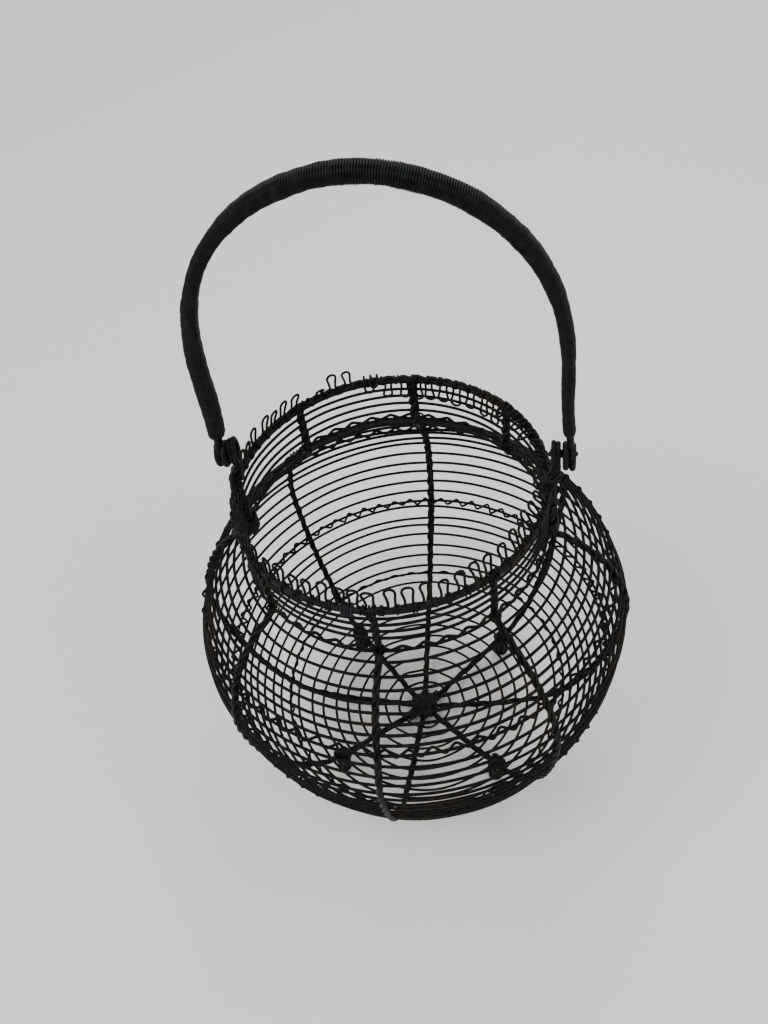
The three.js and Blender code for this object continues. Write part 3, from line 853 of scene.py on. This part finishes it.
def build_handle_core():
    """Two wires side by side along the arch, with a double loop at each end."""
    parts = []
    gap = np.interp(FROM_END, [0, 6, 14, 22], [2.55, 2.25, 2.35, 2.75])
    wire = 2.35 * np.interp(FROM_END, [0, 8], [0.85, 1])
    inside = FROM_END > 1.0
    for s in (-1, 1):
        parts.append(tube((ARCH + np.outer(s * gap, BACK))[inside], wire[inside], 10))
    for side, sign in SIDES:
        for x, centre, half_z, half_y in HANDLE_LOOPS[side]:
            loop = ear_loop(x, 0.4, centre, half_z, half_y, 0.3)
            parts.append(tube(to_side(loop, sign), 2.15, 10))
    build("handle_core_wires", parts, "handle_core", body="handle", lean=lean_handle)


# Thickness of the grip: height above the pivot, half width in the plane of the arch, across it
GRIP_LEFT = [
    (9, 4.9, 5.6), (16, 5.6, 6.4), (29, 5.8, 6.9), (49, 5.9, 7.0), (70, 6.0, 7.0),
    (93, 5.6, 6.8), (117, 5.15, 6.4), (132, 4.9, 6.1), (137, 4.95, 6.3), (141, 4.75, 5.7),
    (160, 4.7, 5.5), (177, 5.3, 6.1), (189, 5.7, 6.9), (198, 5.7, 7.2), (203, 5.9, 7.3)]
GRIP_RIGHT = [
    (204, 6.0, 7.3), (199, 6.1, 7.3), (193, 6.0, 7.2), (186, 5.9, 7.1), (176, 5.8, 7.0),
    (165, 5.6, 6.9), (151, 5.4, 6.9), (135, 5.1, 6.8), (117, 4.8, 6.7), (97, 4.65, 6.6),
    (77, 4.35, 6.5), (56, 4.2, 6.4), (35, 4.05, 6.2), (16, 3.95, 5.8), (9, 3.7, 5.0)]
GRIP_START = 10.5       # bare arch at each end
GRIP_PITCH, GRIP_WIRE = 1.45, 0.74
GRIP_SIDES = 24         # points to a turn of the winding, and sides of the sleeve
SLEEVE_INSET = 0.95


def squarish(q):
    """Unit outline of the grip's section: flatter than an ellipse."""
    return signed_power(np.cos(q), 0.8), signed_power(np.sin(q), 0.8)


def grip_stations():
    """The two thickness tables as rows of arc length, half thickness, half width."""
    rows = []
    for sign, table in ((-1, GRIP_LEFT), (1, GRIP_RIGHT)):
        for z, thick, wide in table:
            miss = np.where(np.sign(ARCH[:, 0]) == sign, np.abs(ARCH[:, 2] - PIVOT_Z - z), 1e9)
            rows.append((ARCH_S[int(np.argmin(miss))], thick, wide))
    rows = np.array(rows)
    return rows[np.argsort(rows[:, 0])]


def build_grip():
    """One long close winding of uneven thickness over a sleeve."""
    keep = FROM_END > GRIP_START
    path, s = ARCH[keep], ARCH_S[keep]
    normal = unit(np.cross(BACK, frames(ARCH)[0]))[keep]
    stations = grip_stations()
    lump = smooth_noise(len(path), (9, 14, 23, 31, 47), 0.13, 77, False)
    taper = np.interp(FROM_END[keep], [GRIP_START, 14], [0.8, 1])
    half_t = (running_mean(lookup(stations, s, 1), 5) + lump * 0.8) * taper
    half_w = (running_mean(lookup(stations, s, 2), 5) + lump) * taper

    turns = (s.max() - s.min()) / GRIP_PITCH
    n = int(turns * GRIP_SIDES) + 1
    at = np.linspace(0, len(path) - 1, n)
    th = np.linspace(0, TAU * turns, n)
    turn_no = (th / TAU).astype(int)
    jitter = (np.random.default_rng(78).normal(size=turn_no.max() + 2) * 0.05)[turn_no]
    rows = np.arange(len(path))
    out_t = np.interp(at, rows, half_t) - GRIP_WIRE + jitter
    out_w = np.interp(at, rows, half_w) - GRIP_WIRE + jitter
    cx, cy = squarish(th)
    winding = (sample(path, at) + unit(sample(normal, at)) * (out_t * cx)[:, None]
               + np.outer(out_w * cy, BACK))

    ax, ay = squarish(full_circle(GRIP_SIDES))
    in_t, in_w = half_t - SLEEVE_INSET, half_w - SLEEVE_INSET
    rings = (path[:, None, :] + normal[:, None, :] * in_t[:, None, None] * ax[None, :, None]
             + BACK * in_w[:, None, None] * ay[None, :, None])
    build("handle_grip_winding", [skin(rings), tube(winding, GRIP_WIRE, 6)], "handle_grip",
          GRIP, "handle", lean_handle)


# ---------------------------------------------------------------- stage, lights and camera, metres
def build_floor():
    half = 6.0
    me = bpy.data.meshes.new("floor")
    me.from_pydata([(-half, -half, 0), (half, -half, 0), (half, half, 0), (-half, half, 0)], [],
                   [(0, 1, 2, 3)])
    m = bpy.data.materials.new("floor_pale")
    m.use_nodes = True
    shader = m.node_tree.nodes["Principled BSDF"]
    shader.inputs["Base Color"].default_value = (0.78, 0.755, 0.72, 1)
    shader.inputs["Roughness"].default_value = 0.55
    me.materials.append(m)
    floor = bpy.data.objects.new("floor", me)
    bpy.context.scene.collection.objects.link(floor)


def build_world():
    world = bpy.data.worlds.new("studio")
    bpy.context.scene.world = world
    world.use_nodes = True
    background = world.node_tree.nodes["Background"]
    background.inputs["Color"].default_value = (0.93, 0.96, 1.0, 1)
    background.inputs["Strength"].default_value = 0.85


def area_light(name, *, place, target, size, power, color=(1, 1, 1)):
    d = bpy.data.lights.new(name, "AREA")
    d.shape = "DISK"
    d.size = size
    d.energy = power
    d.color = color
    o = bpy.data.objects.new(name, d)
    o.location = place
    o.rotation_euler = (Vector(target) - Vector(place)).to_track_quat("-Z", "Y").to_euler()
    bpy.context.scene.collection.objects.link(o)


def build_camera():
    d = bpy.data.cameras.new("camera")
    d.sensor_fit = "AUTO"
    d.sensor_width = 36
    d.lens = 37.866796875
    o = bpy.data.objects.new("camera", d)
    # the camera's own right, up and backward directions
    view = Matrix(((0.98759, 0.10893, -0.11355), (-0.00595, 0.74690, 0.66497),
                   (0.1572, -0.6560, 0.7382))).transposed().to_4x4()
    view.translation = (109.7 * MM, -486.6 * MM, (798.3 + DROP) * MM)
    o.matrix_world = view
    bpy.context.scene.collection.objects.link(o)
    bpy.context.scene.camera = o


build_hoops()
build_crimped_rings()
build_rim()
build_ribs()
build_lashings()
build_hub()
build_edging()
for foot in FEET:
    build_foot(*foot)
for side, sign in SIDES:
    build_bracket(side, sign)
    build_pin(side, sign)
build_handle_core()
build_grip()

build_floor()
build_world()
area_light("key", place=(-1.1, -1.0, 2.3), target=(0, 0, 0.2), size=1.6, power=42,
           color=(1.0, 0.985, 0.96))
area_light("fill", place=(1.6, -0.6, 1.7), target=(0, 0, 0.2), size=1.6, power=16,
           color=(0.95, 0.98, 1.0))
area_light("back", place=(0.2, 1.8, 1.9), target=(0, 0, 0.25), size=1.4, power=16)
build_camera()
